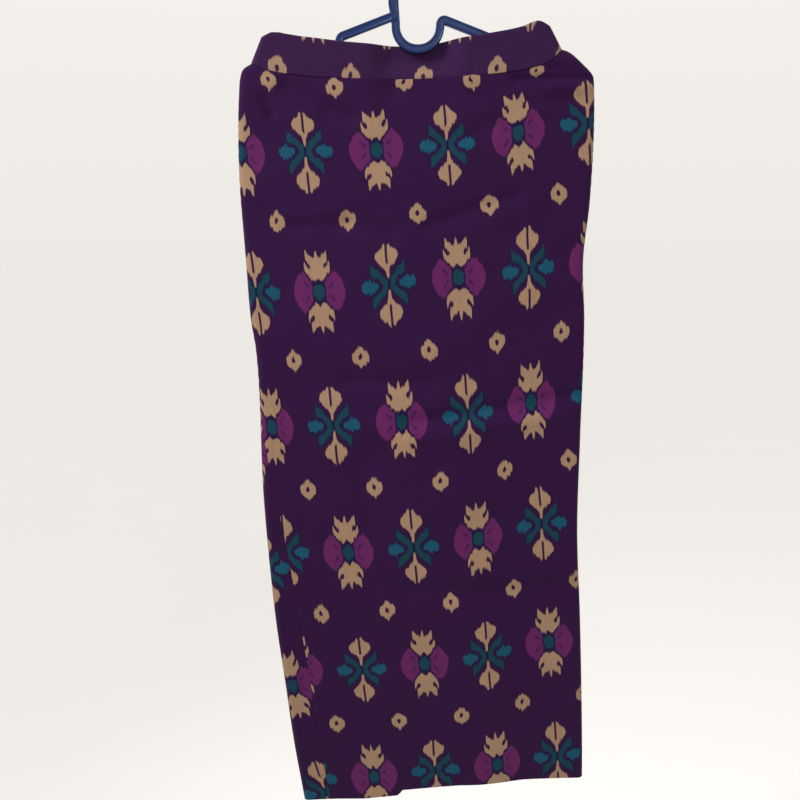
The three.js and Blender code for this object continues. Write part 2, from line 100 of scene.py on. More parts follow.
def rounded_line(corners):
    """Stations (x, z, width) along a line of (x, z, width, radius) corners, rounded off."""
    stations = []
    for k, (x, z, width, radius) in enumerate(corners):
        here = np.array([x, z])
        if not radius:
            stations.append((x, z, width))
            continue
        before = np.array(corners[k - 1][:2]) - here
        after = np.array(corners[k + 1][:2]) - here
        before /= np.linalg.norm(before)
        after /= np.linalg.norm(after)
        opening = math.acos(float(np.clip(before @ after, -1, 1)))
        reach = radius / math.tan(opening / 2)
        bisector = (before + after) / np.linalg.norm(before + after)
        centre = here + bisector * radius / math.sin(opening / 2)
        start = here + before * reach - centre
        finish = here + after * reach - centre
        turn = math.pi - opening
        if start[0] * finish[1] - start[1] * finish[0] < 0:
            turn = -turn
        steps = max(3, round(abs(turn) / BEND_STEP))
        for step in range(steps + 1):
            angle = turn * step / steps
            c, s = math.cos(angle), math.sin(angle)
            stations.append((
                centre[0] + c * start[0] - s * start[1],
                centre[1] + s * start[0] + c * start[1],
                width,
            ))
    return stations


def bar_section():
    """A bar's outline in shares of its half width and half depth, counter-clockwise."""
    round_across, round_deep = EDGE_ROUND
    step_start, step_end, sunk = SUNK_FACE
    corner = []
    for k in range(6):
        angle = math.radians(18 * k)
        corner.append((
            1 - round_across + round_across * math.cos(angle),
            1 - round_deep + round_deep * math.sin(angle),
        ))
    quarter = corner + [(step_start, 1.0), (step_end, sunk), (step_end * 0.5, sunk)]
    half = quarter + [(-a, d) for a, d in reversed(quarter)]
    return half + [(-a, -d) for a, d in half]


def bar_mesh(name, stations):
    """A closed bar along the stations, with both its ends rounded off."""
    def nose(before, end):
        way = np.array([end[0] - before[0], end[1] - before[1]])
        way /= np.linalg.norm(way)
        made = []
        for share in (0.15, 0.3, 0.45, 0.6, 0.75, 0.88, 0.96):
            angle = share * math.pi / 2
            beyond = way * end[2] / 2 * math.sin(angle)
            made.append((end[0] + beyond[0], end[1] + beyond[1], end[2] * math.cos(angle),
                         HANGER_HALF_DEPTH * (TIP_DEPTH + (1 - TIP_DEPTH) * math.cos(angle))))
        return made

    line = [(*p, HANGER_HALF_DEPTH) for p in stations]
    line = nose(line[1], line[0])[::-1] + line + nose(line[-2], line[-1])
    section = bar_section()
    count = len(section)
    places = []
    for k, (x, z, width, half_depth) in enumerate(line):
        before, after = line[max(0, k - 1)], line[min(len(line) - 1, k + 1)]
        way = np.array([after[0] - before[0], after[1] - before[1]])
        way /= np.linalg.norm(way)
        for across, deep in section:
            offset = across * width / 2
            places.append((x - way[1] * offset, deep * half_depth, z + way[0] * offset))
    faces = []
    for k in range(len(line) - 1):
        for i in range(count):
            a, b = k * count + i, k * count + (i + 1) % count
            faces.append((a, a + count, b + count, b))
    faces.append(tuple(range(count)))
    faces.append(tuple(reversed(range((len(line) - 1) * count, len(line) * count))))
    mesh = bpy.data.meshes.new(name)
    mesh.from_pydata([[c * MILLIMETRE for c in p] for p in places], [], faces)
    mesh.polygons.foreach_set("use_smooth", [True] * len(mesh.polygons))
    return placed(name, mesh)


def arm_corners(arm, side):
    """The outer stretch of an arm: a strap notch dips below its line, then it runs to its tip."""
    notch_x, notch_z = arm["notch"]
    tip_x, tip_z = arm["tip"]
    out_x = notch_x + side * NOTCH_SPAN
    out_z = notch_z - NOTCH_SPAN * (notch_z - tip_z) / abs(tip_x - notch_x)
    low_z = out_z - NOTCH_DEPTH
    tight = NOTCH_SPAN / 2 - ARC_SLACK
    return [
        (notch_x, notch_z, ARM_WIDTH, NOTCH_RADIUS),
        (notch_x, low_z, ARM_WIDTH, tight),
        (out_x, low_z, ARM_WIDTH, tight),
        (out_x, out_z, ARM_WIDTH, NOTCH_RADIUS),
        (tip_x, tip_z, ARM_WIDTH, 0),
    ]


hook_top = HOOK_WIDTH / 2
loop_bottom = LOOP_CENTRE_Z - LOOP_RADIUS
hook_to_right_tip = [
    (HOOK_RADIUS, hook_top - HOOK_RADIUS - HOOK_TIP_DROP, HOOK_TIP_WIDTH, 0),
    (HOOK_RADIUS, hook_top, HOOK_WIDTH, HOOK_RADIUS - ARC_SLACK),
    (-HOOK_RADIUS, hook_top, HOOK_WIDTH, HOOK_RADIUS - ARC_SLACK),
    (-HOOK_RADIUS, STEM_END_Z, HOOK_WIDTH, 0),
    (-LOOP_RADIUS, LOOP_START_Z, LOOP_WIDTH, 0),
    (-LOOP_RADIUS, loop_bottom, LOOP_WIDTH, LOOP_RADIUS - ARC_SLACK),
    (LOOP_RADIUS, loop_bottom, LOOP_WIDTH, LOOP_RADIUS - ARC_SLACK),
    (*LOOP_CORNER, LOOP_WIDTH, LOOP_CORNER_RADIUS),
    *arm_corners(RIGHT_ARM, 1),
]
stem_to_left_tip = [(*LEFT_ARM["root"], ARM_WIDTH, 0), *arm_corners(LEFT_ARM, -1)]
hanger = bar_mesh("plastic_hanger", rounded_line(hook_to_right_tip))
left_arm = bar_mesh("left_arm", rounded_line(stem_to_left_tip))
weld = hanger.modifiers.new("weld", "BOOLEAN")
weld.operation = "UNION"
weld.solver = "EXACT"
weld.object = left_arm
bpy.context.view_layer.update()
welded = bpy.data.meshes.new_from_object(hanger.evaluated_get(bpy.context.evaluated_depsgraph_get()))
hanger.modifiers.clear()
hanger.data = welded
bpy.data.objects.remove(left_arm)

NAVY_PLASTIC = colour(20, 40, 84)
NAVY_PLASTIC_DARK = colour(16, 33, 72)


def material_named(name):
    """A new material with an empty shader tree, its Principled shader and its output."""
    material = bpy.data.materials.new(name)
    material.use_nodes = True
    tree = material.node_tree
    tree.nodes.clear()
    shader = tree.nodes.new("ShaderNodeBsdfPrincipled")
    output = tree.nodes.new("ShaderNodeOutputMaterial")
    tree.links.new(shader.outputs["BSDF"], output.inputs["Surface"])
    return material, tree, shader


def noise(tree, vector, scale, detail=2.0):
    """A noise texture's value, by its size in 1/m."""
    made = tree.nodes.new("ShaderNodeTexNoise")
    made.inputs["Scale"].default_value = scale
    made.inputs["Detail"].default_value = detail
    tree.links.new(vector, made.inputs["Vector"])
    return made.outputs["Fac"]


def blend_colours(tree, share, first, second):
    """Mixes two colours, each a value or a socket, by a share from 0 to 1."""
    mix = tree.nodes.new("ShaderNodeMix")
    mix.data_type = "RGBA"
    for socket, value in ((mix.inputs[0], share), (mix.inputs[6], first), (mix.inputs[7], second)):
        if isinstance(value, bpy.types.NodeSocket):
            tree.links.new(value, socket)
        else:
            socket.default_value = value
    return mix.outputs[2]


plastic, tree, shader = material_named("navy_plastic")
place = tree.nodes.new("ShaderNodeTexCoord").outputs["Object"]
clouding = noise(tree, place, 45, 3)
tree.links.new(blend_colours(tree, clouding, NAVY_PLASTIC, NAVY_PLASTIC_DARK), shader.inputs["Base Color"])
scuff = tree.nodes.new("ShaderNodeMapRange")
tree.links.new(noise(tree, place, 160, 4), scuff.inputs["Value"])
scuff.inputs["To Min"].default_value = 0.24
scuff.inputs["To Max"].default_value = 0.38
tree.links.new(scuff.outputs["Result"], shader.inputs["Roughness"])
skin = tree.nodes.new("ShaderNodeBump")
skin.inputs["Strength"].default_value = 0.12
skin.inputs["Distance"].default_value = 0.0003
tree.links.new(noise(tree, place, 900, 2), skin.inputs["Height"])
tree.links.new(skin.outputs["Normal"], shader.inputs["Normal"])
shader.inputs["Specular IOR Level"].default_value = 0.16
hanger.data.materials.clear()
hanger.data.materials.append(plastic)

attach(hanger, "root")
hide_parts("hanger")

# ---- Front panel ----
# One length of printed cotton from the waist seam to the turned-up hem, sewn to the back panel at
# its sides. It hangs flat and a little askew, with soft creases where it was folded away.
PANEL_WALL = 1.2
SEAM_ALLOWANCE = 4.0  # how far a panel's top runs up behind the waistband
ALLOWANCE_DEPTH = 2.9  # and how far in it lies there
GRAIN_SLOPE = 0.0963  # the cloth's rows rise to the right by this much
SEAM_LEVEL = -151.5
HEM_LEVEL = -1086.0
SHOULDER_DROP = 60.0
HEM_FADE = 26.0
SEAM_ROLL = 0.3  # how far an edge rolls in at its seam, and over what distance
SEAM_ROLL_RUN = 1.6
SEAM_PUCKER = (0.30, 7.5, 13.0)  # height of the small puckers along a seam, their reach and spacing
STEPS_BELOW_SEAM = [-2.4, -1.2, -0.4, 0.2, 0.9, 1.6, 2.6, 4, 6]  # rows of points near the seam
STEPS_ABOVE_HEM = [6, 4, 2.6, 1.6, 0.8, 0.3, 0]  # and near the hem
ROWS_BETWEEN = 288
FOLD_DENSITY = (3.2, 9.0)  # how much closer points stand near a fold, and over what distance
EDGE_DENSITY = (4, 2.5)  # and near a side seam
FOLD_STEPS = 16  # points on a quarter of a side fold
FACE_STEPS = 81  # and on a face between two folds
# The waistband's two edges across its width, 0 at the left fold and 1 at the right fold.
WAIST = [  # (across, seam height, top height)
    (0.0, -133.5, -104.5), (0.04, -140, -101), (0.15, -147.2, -104.6), (0.3, -150.6, -110.3),
    (0.45, -151.5, -113.3), (0.55, -151, -112.8), (0.67, -148.6, -106.7), (0.8, -145, -100),
    (0.9, -139, -93.6), (0.96, -131.3, -86.8), (1.0, -118, -92),
]
LEFT_EDGE = [  # (height, sideways)
    (-134, -196), (-139, -204.5), (-146, -208.5), (-165, -211.3), (-255, -214.8), (-363, -210.2),
    (-437, -206.5), (-475, -201.5), (-673, -197.7), (-842, -186.8), (-930, -177), (-1021, -167),
    (-1112, -154),
]
RIGHT_EDGE = [
    (-118, 171), (-119.2, 175.5), (-121.5, 180.5), (-126, 187), (-135, 197), (-143.8, 206.4),
    (-148.5, 209.2), (-160, 210.8), (-290, 211.7), (-363, 206.4), (-437, 211), (-592, 212),
    (-714, 213.4), (-842, 222.4), (-1021, 232.6), (-1080, 235),
]
TUBE = [  # (height, fold radius, front depth, back depth, turn of the side seams)
    (-151, 7, 8, 10, 0), (-230, 7, 10, 12, 0), (-430, 8, 14, 15, -3), (-507, 8, 15, 15, 1),
    (-666, 8, 16, 15, 24), (-760, 8, 16, 15, 33.5), (-936, 8, 15, 14, 40.5), (-1112, 7.5, 13, 13, 41),
]
FRONT_HEM = [  # (sideways, drop below the straight grain)
    (-153, 5.6), (-108, 6.6), (-69, 8.8), (-21, 6.6), (-18, -1.1), (63, -1.7), (91, 0),
    (150, -0.2), (235, 7.4),
]
BACK_HEM = [(-153, 5.6), (-60, 2), (80, 0), (194, 2.5), (235, 7.4)]
# A crease is a soft trough along a line (x1, z1, x2, z2), with its width and depth.
FRONT_CREASES = [
    (-182, -174, -175, -190, 6, 3.0), (-175, -190, -158, -210, 7, 3.2),
    (-157, -162, -80, -196, 9, 3.8), (-172, -158, -120, -184, 8, -2.0),
    (158, -139, 202, -138.5, 3.6, 2.6), (120, -160, 150, -164, 5, 1.6),
    (116, -152, 206, -149, 5, 4.0), (150, -163, 200, -160, 7, -1.6), (128, -176, 196, -173, 8, 1.4),
    (-30, -163, 60, -170, 9, 1.2), (-150, -322, -84, -319, 10, 3.0), (-84, -319, -30, -330, 12, 2.6),
    (20, -320, 118, -287, 10, 3.2), (40, -222, 104, -200, 12, 2.6), (-86, -514, 13, -514, 12, 3.0),
    (-11, -567, 200, -534, 11, 3.8), (-5, -590, 195, -556, 14, -2.6),
    (-12, -796, 212, -792, 14, 3.4), (60, -640, 110, -1060, 40, -2.6),
    (-60, -600, -70, -1060, 30, 2.2),
]
LOOP_DENT = {"depth": 12.5, "half_width": 26, "fall": 34, "full_above": -126, "seam_share": 0.34,
             "end": -236}


def ease(t):
    """Smooth step from 0 to 1."""
    t = np.clip(t, 0, 1)
    return t * t * (3 - 2 * t)


def along(table, column, at):
    """Smooth value of one column of a table at places along its first column."""
    keys = np.array([row[0] for row in table], float)
    values = np.array([row[column] for row in table], float)
    if keys[1] < keys[0]:
        keys, values = keys[::-1], values[::-1]
    chords = np.diff(values) / np.diff(keys)
    slopes = np.concatenate([chords[:1], (chords[:-1] + chords[1:]) / 2, chords[-1:]])
    at = np.clip(at, keys[0], keys[-1])
    i = np.clip(np.searchsorted(keys, at) - 1, 0, len(keys) - 2)
    span = keys[i + 1] - keys[i]
    t = (at - keys[i]) / span
    rise, fall = 3 * t ** 2 - 2 * t ** 3, 2 * t ** 3 - 3 * t ** 2 + 1
    start, end = slopes[i] * span, slopes[i + 1] * span
    return fall * values[i] + (t - 2 * t ** 2 + t ** 3) * start + rise * values[i + 1] \
        + (t ** 3 - t ** 2) * end


def troughs(creases, x, z):
    """How deep the creases press in at a place."""
    total = np.zeros_like(x)
    for x1, z1, x2, z2, width, depth in creases:
        run_x, run_z = x2 - x1, z2 - z1
        t = np.clip(((x - x1) * run_x + (z - z1) * run_z) / (run_x ** 2 + run_z ** 2), 0, 1)
        away = np.hypot(x - x1 - t * run_x, z - z1 - t * run_z) / width
        total += depth * np.exp(-away ** 2)
    return total


def tube_outline(left, right, fold, front, back):
    """One level of the flattened tube from above: two bulged faces joined by round folds."""
    flat = (right - left) / 2 - fold
    turn = np.arange(FOLD_STEPS) / FOLD_STEPS * math.pi / 2
    u = np.linspace(-1, 1, FACE_STEPS)

    def face(sign, depth):
        corner_x, corner_y = -flat - fold * np.cos(turn), fold * np.sin(turn)
        xs = np.concatenate([corner_x, u * flat, -corner_x[::-1]])
        bulge = fold + (depth - fold) * (1 - u * u) ** 2
        return xs, sign * np.concatenate([corner_y, bulge, corner_y[::-1]])

    front_x, front_y = face(-1, front)
    back_x, back_y = face(1, back)
    xs = np.concatenate([front_x, back_x[::-1][1:]])
    ys = np.concatenate([front_y, back_y[::-1][1:]])
    stations = np.concatenate([[0], np.cumsum(np.hypot(np.diff(xs), np.diff(ys)))])
    before = np.roll(np.arange(len(xs)), 1)
    before[0] = len(xs) - 2
    after = np.roll(np.arange(len(xs)), -1)
    after[-1] = 1
    out_x, out_y = ys[after] - ys[before], xs[before] - xs[after]
    length = np.hypot(out_x, out_y)
    return {"x": xs + (left + right) / 2, "y": ys, "out_x": out_x / length, "out_y": out_y / length,
            "s": stations, "total": stations[-1], "front_run": stations[len(front_x) - 1],
            "left": left, "right": right}


def on_outline(outline, s):
    """Places and outward directions at distances s along a tube's outline."""
    at = np.mod(s, outline["total"])
    x, y, out_x, out_y = (np.interp(at, outline["s"], outline[k]) for k in ("x", "y", "out_x", "out_y"))
    length = np.hypot(out_x, out_y)
    across = np.clip((x - outline["left"]) / (outline["right"] - outline["left"]), 0, 1)
    return x, y, out_x / length, out_y / length, across


def cloth_height(level, across, left, right, hem):
    """Height of the cloth that crosses mid width at a level, for shares of the width."""
    x = left + (right - left) * across
    slant = GRAIN_SLOPE * (across - 0.5) * (right - left)
    from_seam = np.clip(1 - (SEAM_LEVEL - level) / SHOULDER_DROP, 0, 1) ** 2
    to_hem = np.clip(1 - (level - HEM_LEVEL) / HEM_FADE, 0, 1) ** 2
    seam = along(WAIST, 1, across) - SEAM_LEVEL - slant
    drop = np.interp(x, [row[0] for row in hem], [row[1] for row in hem])
    return level + slant + seam * from_seam - drop * to_hem


def side_edges(level):
    """Where a level meets the tube's two folds, closed in on from a first guess."""
    left, right = -200.0, 200.0
    for _ in range(4):
        left = float(along(LEFT_EDGE, 1, cloth_height(level, 0.0, left, right, BACK_HEM)))
        right = float(along(RIGHT_EDGE, 1, cloth_height(level, 1.0, left, right, BACK_HEM)))
    return left, right


def loop_dent(x, z):
    """The dent that the hanger's strap loop presses into the middle of the front."""
    dent = LOOP_DENT
    sideways = ease((dent["half_width"] + dent["fall"] - np.abs(x)) / dent["fall"])
    low = ease((z - dent["end"]) / (SEAM_LEVEL - dent["end"])) * dent["seam_share"]
    high = ease((z - SEAM_LEVEL) / (dent["full_above"] - SEAM_LEVEL)) * (1 - dent["seam_share"])
    return dent["depth"] * sideways * (low + high)


# Slack in the cloth: a few long shallow waves, each (waves per metre across, and down, its phase).
random.seed(11)
SLACK = [(random.uniform(-9, 9), random.uniform(2, 16), random.uniform(0, 6.3)) for _ in range(14)]
SLACK_HEIGHT = 0.16


def slack(x, z):
    """How far the slack lifts the cloth at a place."""
    waves = [np.sin(2 * math.pi * (a * x + b * z) * MILLIMETRE + phase) for a, b, phase in SLACK]
    return SLACK_HEIGHT * sum(waves)


def panel_levels():
    """Levels from the waist seam to the hem, close together at both ends."""
    near_seam = SEAM_LEVEL - np.array([-SEAM_ALLOWANCE, *STEPS_BELOW_SEAM])
    near_hem = HEM_LEVEL + np.array(STEPS_ABOVE_HEM)
    middle = np.linspace(near_seam[-1], near_hem[0], ROWS_BETWEEN)[1:-1]
    return np.concatenate([near_seam, middle, near_hem])


def closer_at_folds(start, end, count, folds):
    """Distances from start to end, closer together near the folds and at both seams."""
    fine = np.linspace(start, end, 2000)
    weight = np.ones_like(fine)
    for spots, (density, reach) in ((folds, FOLD_DENSITY), ((start, end), EDGE_DENSITY)):
        for spot in spots:
            weight += density * np.exp(-((fine - spot) / reach) ** 2)
    grown = np.concatenate([[0], np.cumsum((weight[1:] + weight[:-1]) / 2)])
    return np.interp(np.linspace(0, grown[-1], count), grown, fine)


def shell(name, outer, inner, cloth):
    """A closed cloth wall from two grids of points, with the cloth's own coordinates as its UVs."""
    rows, columns = outer.shape[:2]
    places = np.concatenate([outer.reshape(-1, 3), inner.reshape(-1, 3)]) * MILLIMETRE
    index = np.arange(rows * columns).reshape(rows, columns)
    back = index + rows * columns
    a, b, c, d = index[:-1, :-1], index[1:, :-1], index[1:, 1:], index[:-1, 1:]
    faces = [np.stack([a, b, c, d], -1).reshape(-1, 4)]
    a, b, c, d = back[:-1, :-1], back[1:, :-1], back[1:, 1:], back[:-1, 1:]
    faces.append(np.stack([a, d, c, b], -1).reshape(-1, 4))
    for line, flip in ((index[0], False), (index[-1], True), (index[:, 0], True), (index[:, -1], False)):
        far = line + rows * columns
        rim = np.stack([line[:-1], line[1:], far[1:], far[:-1]], -1)
        faces.append(rim[:, ::-1] if flip else rim)
    faces = np.concatenate(faces)
    mesh = bpy.data.meshes.new(name)
    mesh.from_pydata(places.tolist(), [], faces.tolist())
    layer = mesh.uv_layers.new(name="cloth")
    grain = np.concatenate([cloth.reshape(-1, 2), cloth.reshape(-1, 2)]) * MILLIMETRE
    layer.data.foreach_set("uv", grain[faces.ravel()].ravel().astype(np.float32))
    mesh.polygons.foreach_set("use_smooth", [True] * len(mesh.polygons))
    return placed(name, mesh)


def seam_puckers(away, along_seam):
    """Small uneven puckers beside a seam, by the distance from it and the place along it."""
    height, reach, spacing = SEAM_PUCKER
    uneven_spacing = 2.2 * np.sin(along_seam / 31.0)
    uneven_height = 0.6 + 0.4 * np.sin(along_seam / 47.0)
    wave = np.sin(2 * math.pi * along_seam / spacing + uneven_spacing)
    return height * wave * uneven_height * np.exp(-np.abs(away) / reach)


def side_roll(s, start, end):
    """How far a row rolls in towards the side seams at its two ends."""
    return SEAM_ROLL * (np.exp(-(s - start) / SEAM_ROLL_RUN) + np.exp(-(end - s) / SEAM_ROLL_RUN))


def squareness(out_y):
    """1 where the cloth faces straight forwards or back, down to 0 round the side folds."""
    return np.clip(np.abs(out_y) * 1.5 - 0.5, 0, 1)


def print_coordinates(x, z, layout):
    """Cloth coordinates in mm of a place on the flattened cloth, from the layout's first cross."""
    tilt = math.atan(layout["slope"])
    across = x * math.cos(tilt) + z * math.sin(tilt)
    up = -x * math.sin(tilt) + z * math.cos(tilt) - layout["bow"] * (x - layout["bow_middle"]) ** 2
    for spot_x, spot_z, reach_x, reach_z, slip_across, slip_up in layout["slips"]:
        near = np.exp(-((x - spot_x) / reach_x) ** 2 - ((z - spot_z) / reach_z) ** 2)
        across = across - slip_across * near
        up = up - slip_up * near
    for spot_x, spot_z, reach_x, reach_z, hidden in layout["tucks"]:
        up = up + hidden * np.tanh((z - spot_z) / reach_z) * np.exp(-((x - spot_x) / reach_x) ** 2)
    up = up - layout["first_cross"][1]
    up = up + layout["drawn_up"] * np.maximum(0, up)
    return np.stack([across - layout["first_cross"][0], up], -1)


def panel(name, side, columns, creases_front, creases_back, extra_lift, layout):
    """One panel, row by row, on the tube's own form, with its print's layout as its UVs."""
    outer, inner, cloth = [], [], []
    for level in panel_levels():
        left, right = side_edges(level)
        fold, front, back, turn = (float(along(TUBE, c, level)) for c in (1, 2, 3, 4))
        outline = tube_outline(left, right, fold, front, back)
        start, end = turn, outline["front_run"] + turn
        if side == "back":
            start, end = end, start + outline["total"]
        s = closer_at_folds(start, end, columns, (0, outline["front_run"], outline["total"]))
        x, y, out_x, out_y, across = on_outline(outline, s)
        is_front = out_y < 0
        height = np.where(is_front, cloth_height(level, across, left, right, FRONT_HEM),
                          cloth_height(level, across, left, right, BACK_HEM))
        facing = squareness(out_y)
        pressed = np.where(is_front, troughs(creases_front, x, height), troughs(creases_back, x, height))
        lift = (slack(x, height) - pressed) * facing + extra_lift(level, (s - start) / (end - start), x,
                                                                  height, facing, is_front)
        lift -= side_roll(s, start, end)
        lift += seam_puckers(s - start, height) + seam_puckers(end - s, height + 5)
        below_seam = SEAM_LEVEL - level
        lift += seam_puckers(below_seam, x) * facing
        lift -= SEAM_ROLL * math.exp(-max(0.0, below_seam) / SEAM_ROLL_RUN)
        lift -= (ALLOWANCE_DEPTH - SEAM_ROLL) * float(ease(-below_seam / SEAM_ROLL_RUN))
        point = np.stack([x + out_x * lift, y + out_y * lift, height], -1)
        outer.append(point)
        inner.append(point - np.stack([out_x, out_y, np.zeros_like(x)], -1) * PANEL_WALL)
        middle = (left + right) / 2
        if side == "front":
            flat_x, flat_z = middle + s - outline["front_run"] / 2, height
        else:
            flat_x = middle - (s - (outline["front_run"] + outline["total"]) / 2)
            flat_z = height - 2 * FOLD_LEAN * np.maximum(0, s - outline["total"])
        cloth.append(print_coordinates(flat_x, flat_z, layout))
    return shell(name, np.array(outer), np.array(inner), np.array(cloth))


# How the print lies on the front: its first cross in its own tilted axes, its rows' tilt and bow,
# how much of it the elastic draws up above the first row, where the cloth has slipped, as (x, z,
# reach across, reach down, slip across, slip up), and what a crease tucks away above and below it.
FRONT_PRINT = {
    "first_cross": (-153.3, -224.8), "slope": 0.0915, "bow": 2.3e-4, "bow_middle": -26.0,
    "drawn_up": 0.13, "tucks": [(150, -145, 42, 6, 5.5), (-13, -150, 26, 6, 2.5)],
    "slips": [
        (80, -220, 110, 60, 0, -4.5), (9, -393, 70, 60, 0, 5), (-76, -860, 62, 62, 0, -6),
        (28, -1064, 45, 60, 0, 5), (197, -1049, 50, 60, 0, -5), (-205, -520, 34, 330, 6, 0),
        (172, -547, 70, 90, -4.5, 0), (148, -145, 30, 26, -17, -8.3),
        (-180, -156, 32, 26, 7.5, 9.5), (-100, -160, 30, 26, 0, -3), (66, -152, 30, 26, -8.5, -9.5),
        (-13, -153, 30, 24, -3, -4), (-213, -237, 30, 50, 3.4, 2), (205, -195, 40, 50, 0, -3),
        (-115, -560, 60, 300, -3, 0), (120, -350, 55, 110, 3.8, 0), (190, -350, 60, 260, 0, -3.8),
        (190, -448, 35, 50, -2.5, 0), (-60, -355, 150, 75, 0, 2.2), (-60, -780, 130, 130, 0, -2.8),
        (120, -1040, 120, 90, 2.5, 0), (36, -222, 150, 50, 0, -2), (-133, -235, 40, 50, 0, 2.2),
        (-167, -319, 32, 40, -3, 1.8), (150, -292, 60, 40, 2.3, 0), (1, -306, 36, 40, 0, -1.8),
        (88, -299, 34, 40, 0, 1.8), (-197, -405, 34, 50, 0, 2.4), (138, -371, 40, 45, 0, -2.6),
        (-34, -391, 40, 45, 0, -1.8), (0, -560, 50, 45, 0, -3), (130, -543, 70, 45, 0, -3),
        (-25, -735, 60, 45, 0, -2.8), (-122, -828, 40, 40, -2.8, -1.4), (-21, -983, 40, 40, 0, -2.2),
    ],
}
FOLD_LEAN = 0.105  # how far the left fold leans, which turns the print of what is folded over it


def front_lift(level, share, x, z, facing, is_front):
    """The strap loop's dent, in the front only."""
    return np.where(is_front, -loop_dent(x, z), 0.0)


front_panel = panel("front_panel_cloth", side="front", columns=132, creases_front=FRONT_CREASES,
                    creases_back=[], extra_lift=front_lift, layout=FRONT_PRINT)

# The printed cotton: an old tie-dyed warp pattern of flowers, crosses and rings on a dark plum
# ground. All sizes are millimetres on the cloth, and each motif is the same left and right.
COLUMN_PITCH = 84.55
ROW_PITCH = 167.6
BUNDLES = [(2.2, 2.8), (0.88, 1.4)]  # warp threads tied and dyed together: their width, their slip
BUNDLE_RUN = 34.0  # after this length along the warp a bundle slips anew
EDGE_BLUR = 2.2  # over this height a dyed edge fades into the next dye
CHART_SPAN = 64.0  # a chart's curve covers this much, both ways
CHART_RISE = 24.0  # added to heights, so that a chart can go below its middle
PLUM = colour(39, 8, 50)
PLUM_DEEP = colour(32, 5, 42)
NAVY = colour(19, 9, 46)
BEIGE = colour(113, 89, 70)
BEIGE_LIGHT = colour(145, 117, 94)
MAGENTA = colour(79, 24, 71)
PURPLE = colour(58, 23, 73)
TEAL = colour(10, 47, 59)
TEAL_BRIGHT = colour(13, 62, 82)
PAINTED_SHEEN_COLOUR = colour(104, 90, 122)  # painted sheen: the pale wash that stands in for the light and sheen on the waistband
# Each chart gives a motif's edge as (distance from its middle line, height above its middle).
CROWN_TOP = [(0, 49.5), (0.8, 48.5), (2.2, 40.8), (3.2, 40), (4.6, 41.2), (8.5, 44.6), (12, 49.5),
             (12.9, 49), (13.3, 34.8), (15, 36.4), (16, 34.5), (16.4, 26), (16.7, 0)]
CROWN_FOOT = [(0, 17), (1.1, 16.4), (2.4, 14), (5.4, 13), (8.7, 16.4), (12.5, 21), (15.5, 25), (16.2, 30),
              (16.6, 60)]
CUT_LOW = [(7.8, 60), (8.2, 30), (9.2, 27.8), (11.5, 28.6), (13.4, 31.4), (15, 36), (15.2, 60)]
CUT_HIGH = [(7.8, 0), (8.2, 31), (9.2, 34.4), (11.5, 36), (13.1, 37), (13.4, 60), (30, 60)]
WING = [(7, 0), (7.4, 9.6), (10, 13.4), (15, 20), (18, 23.8), (21, 23.8), (25, 19.4), (27.6, 15.2),
        (30.4, 9.6), (31.8, 4), (32.3, 0), (32.8, -10)]
LEAF_TOP = [(0, 49.4), (2.2, 50.2), (3.9, 49.8), (4.7, 47), (5.8, 45.2), (8.6, 43.4), (12, 40.8),
            (13.4, 38.2), (14.1, 34.8), (14.4, 0)]
LEAF_FOOT = [(0, 7.2), (1.3, 7.6), (1.7, 13), (2.1, 17.6), (4.4, 21.6), (9.4, 26.8), (12.3, 29.8),
             (13.7, 32.6), (14.3, 36.4), (14.5, 60)]
ARM_TOP = [(0, 5), (1.6, 5.5), (3.4, 8), (5.5, 11.2), (9.4, 15.4), (12, 18.8), (15.6, 21.8), (18.5, 24.4),
           (20.6, 27), (30, 27)]
ARM_FOOT = [(0, -10), (6.4, -10), (7, 0), (8.4, 3.2), (10.5, 6.6), (13, 9.4), (16, 10.2), (18.5, 12),
            (20.6, 14.2), (30, 14.2)]
BUD = [(12.4, 0), (12.9, 2.8), (16.4, 4.6), (19.4, 6.2), (21.6, 7.4), (22.5, 10), (23.4, 10), (24.3, 7.2),
       (27.6, 7.2), (30.6, 6.2), (32.4, 3.4), (33.1, 0), (33.6, -10)]
RING_TOP = [(0, 12.8), (1.2, 14), (2.8, 11.6), (4.4, 10.6), (6, 8.4), (8.4, 6.8), (9.9, 4.8), (10.7, 0.6),
            (11.1, -12)]
RING_FOOT = [(0, -13), (1, -12.4), (2.2, -9.8), (4, -8.8), (6, -7.4), (8, -5.8), (9.9, -4), (11, 12)]
# Ovals are (half width, half height), and reaches are (from, to), sideways from the middle line.
EYE = (6.9, 9.4)
EYE_RIM = (8.4, 14.4)
WING_ROOT = 8.2
DASH = {"reach": (12.2, 18.2), "line_from": 7.3, "half_width": 1.8, "share": 0.75}
SLIT = {"half_width": 1.45, "above": 24.5}
ARM_REACH = (1.6, 20.9)
ARM_RIM = {"width": 2.2, "to": 22.5}
BUD_ROOT = 12.6
BUD_RIM = {"width": 2.4, "reach": (9.8, 34.0)}
RING_HOLE = {"left": 0.5, "above": 1.2, "size": (2.4, 3.7)}


def reckon(tree, operation, first, second=0.0, third=0.0, clamp=False):
    """A math node on sockets or plain numbers."""
    made = tree.nodes.new("ShaderNodeMath")
    made.operation = operation
    made.use_clamp = clamp
    for socket, value in zip(made.inputs, (first, second, third)):
        if isinstance(value, bpy.types.NodeSocket):
            tree.links.new(value, socket)
        else:
            socket.default_value = value
    return made.outputs[0]


